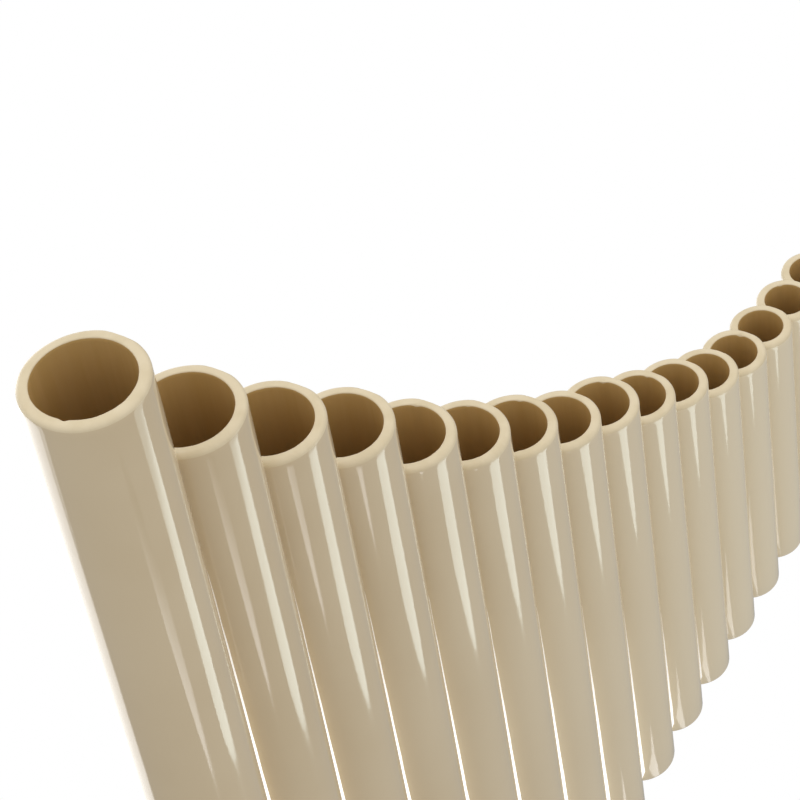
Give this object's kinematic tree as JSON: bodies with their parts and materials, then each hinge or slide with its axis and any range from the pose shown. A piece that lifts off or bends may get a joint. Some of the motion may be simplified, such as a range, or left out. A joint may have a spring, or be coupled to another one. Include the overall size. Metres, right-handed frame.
{
  "type": "pan flute",
  "caption": "Straight-row pan flute of glued ivory plastic pipes, standing on its mouths, with a sliding rubber tuning stopper in each pipe.",
  "frame": {"origin": "middle of the outline in plan, in the plane of the pipe mouths", "axes": "+X along the row towards the shortest pipe, +Y away from the player, +Z along the pipes from the mouths to the rear ends"},
  "size_m": [0.3298, 0.0208, 0.27],
  "materials": {
    "ivory_abs": "smooth gloss walls, matte cut ends",
    "grey_rubber": "matte moulded silicone rubber"
  },
  "bodies": {
    "pipes": {"pipe_01": "ivory_abs", "pipe_02": "ivory_abs", "pipe_03": "ivory_abs", "pipe_04": "ivory_abs", "pipe_05": "ivory_abs", "pipe_06": "ivory_abs", "pipe_07": "ivory_abs", "pipe_08": "ivory_abs", "pipe_09": "ivory_abs", "pipe_10": "ivory_abs", "pipe_11": "ivory_abs", "pipe_12": "ivory_abs", "pipe_13": "ivory_abs", "pipe_14": "ivory_abs", "pipe_15": "ivory_abs", "pipe_16": "ivory_abs", "pipe_17": "ivory_abs", "pipe_18": "ivory_abs", "pipe_19": "ivory_abs", "pipe_20": "ivory_abs", "pipe_21": "ivory_abs", "pipe_22": "ivory_abs"},
    "stopper_01": {"stopper_01": "grey_rubber"},
    "stopper_02": {"stopper_02": "grey_rubber"},
    "stopper_03": {"stopper_03": "grey_rubber"},
    "stopper_04": {"stopper_04": "grey_rubber"},
    "stopper_05": {"stopper_05": "grey_rubber"},
    "stopper_06": {"stopper_06": "grey_rubber"},
    "stopper_07": {"stopper_07": "grey_rubber"},
    "stopper_08": {"stopper_08": "grey_rubber"},
    "stopper_09": {"stopper_09": "grey_rubber"},
    "stopper_10": {"stopper_10": "grey_rubber"},
    "stopper_11": {"stopper_11": "grey_rubber"},
    "stopper_12": {"stopper_12": "grey_rubber"},
    "stopper_13": {"stopper_13": "grey_rubber"},
    "stopper_14": {"stopper_14": "grey_rubber"},
    "stopper_15": {"stopper_15": "grey_rubber"},
    "stopper_16": {"stopper_16": "grey_rubber"},
    "stopper_17": {"stopper_17": "grey_rubber"},
    "stopper_18": {"stopper_18": "grey_rubber"},
    "stopper_19": {"stopper_19": "grey_rubber"},
    "stopper_20": {"stopper_20": "grey_rubber"},
    "stopper_21": {"stopper_21": "grey_rubber"},
    "stopper_22": {"stopper_22": "grey_rubber"}
  },
  "joints": [
    {"name": "tuning_slide_01", "type": "slide", "parent": "pipes", "child": "stopper_01", "axis": [0, 0, 1], "range_m": [-0.0121, 0.0128]},
    {"name": "tuning_slide_02", "type": "slide", "parent": "pipes", "child": "stopper_02", "axis": [0, 0, 1], "range_m": [-0.0107, 0.0114]},
    {"name": "tuning_slide_03", "type": "slide", "parent": "pipes", "child": "stopper_03", "axis": [0, 0, 1], "range_m": [-0.0095, 0.0101]},
    {"name": "tuning_slide_04", "type": "slide", "parent": "pipes", "child": "stopper_04", "axis": [0, 0, 1], "range_m": [-0.009, 0.0095]},
    {"name": "tuning_slide_05", "type": "slide", "parent": "pipes", "child": "stopper_05", "axis": [0, 0, 1], "range_m": [-0.008, 0.0085]},
    {"name": "tuning_slide_06", "type": "slide", "parent": "pipes", "child": "stopper_06", "axis": [0, 0, 1], "range_m": [-0.0071, 0.0075]},
    {"name": "tuning_slide_07", "type": "slide", "parent": "pipes", "child": "stopper_07", "axis": [0, 0, 1], "range_m": [-0.0063, 0.0067]},
    {"name": "tuning_slide_08", "type": "slide", "parent": "pipes", "child": "stopper_08", "axis": [0, 0, 1], "range_m": [-0.006, 0.0063]},
    {"name": "tuning_slide_09", "type": "slide", "parent": "pipes", "child": "stopper_09", "axis": [0, 0, 1], "range_m": [-0.0053, 0.0056]},
    {"name": "tuning_slide_10", "type": "slide", "parent": "pipes", "child": "stopper_10", "axis": [0, 0, 1], "range_m": [-0.0047, 0.005]},
    {"name": "tuning_slide_11", "type": "slide", "parent": "pipes", "child": "stopper_11", "axis": [0, 0, 1], "range_m": [-0.0044, 0.0047]},
    {"name": "tuning_slide_12", "type": "slide", "parent": "pipes", "child": "stopper_12", "axis": [0, 0, 1], "range_m": [-0.0039, 0.0042]},
    {"name": "tuning_slide_13", "type": "slide", "parent": "pipes", "child": "stopper_13", "axis": [0, 0, 1], "range_m": [-0.0035, 0.0037]},
    {"name": "tuning_slide_14", "type": "slide", "parent": "pipes", "child": "stopper_14", "axis": [0, 0, 1], "range_m": [-0.0031, 0.0033]},
    {"name": "tuning_slide_15", "type": "slide", "parent": "pipes", "child": "stopper_15", "axis": [0, 0, 1], "range_m": [-0.0029, 0.0031]},
    {"name": "tuning_slide_16", "type": "slide", "parent": "pipes", "child": "stopper_16", "axis": [0, 0, 1], "range_m": [-0.0026, 0.0027]},
    {"name": "tuning_slide_17", "type": "slide", "parent": "pipes", "child": "stopper_17", "axis": [0, 0, 1], "range_m": [-0.0023, 0.0024]},
    {"name": "tuning_slide_18", "type": "slide", "parent": "pipes", "child": "stopper_18", "axis": [0, 0, 1], "range_m": [-0.0022, 0.0023]},
    {"name": "tuning_slide_19", "type": "slide", "parent": "pipes", "child": "stopper_19", "axis": [0, 0, 1], "range_m": [-0.0019, 0.002]},
    {"name": "tuning_slide_20", "type": "slide", "parent": "pipes", "child": "stopper_20", "axis": [0, 0, 1], "range_m": [-0.0017, 0.0018]},
    {"name": "tuning_slide_21", "type": "slide", "parent": "pipes", "child": "stopper_21", "axis": [0, 0, 1], "range_m": [-0.0015, 0.0016]},
    {"name": "tuning_slide_22", "type": "slide", "parent": "pipes", "child": "stopper_22", "axis": [0, 0, 1], "range_m": [-0.0014, 0.0015]}
  ]
}
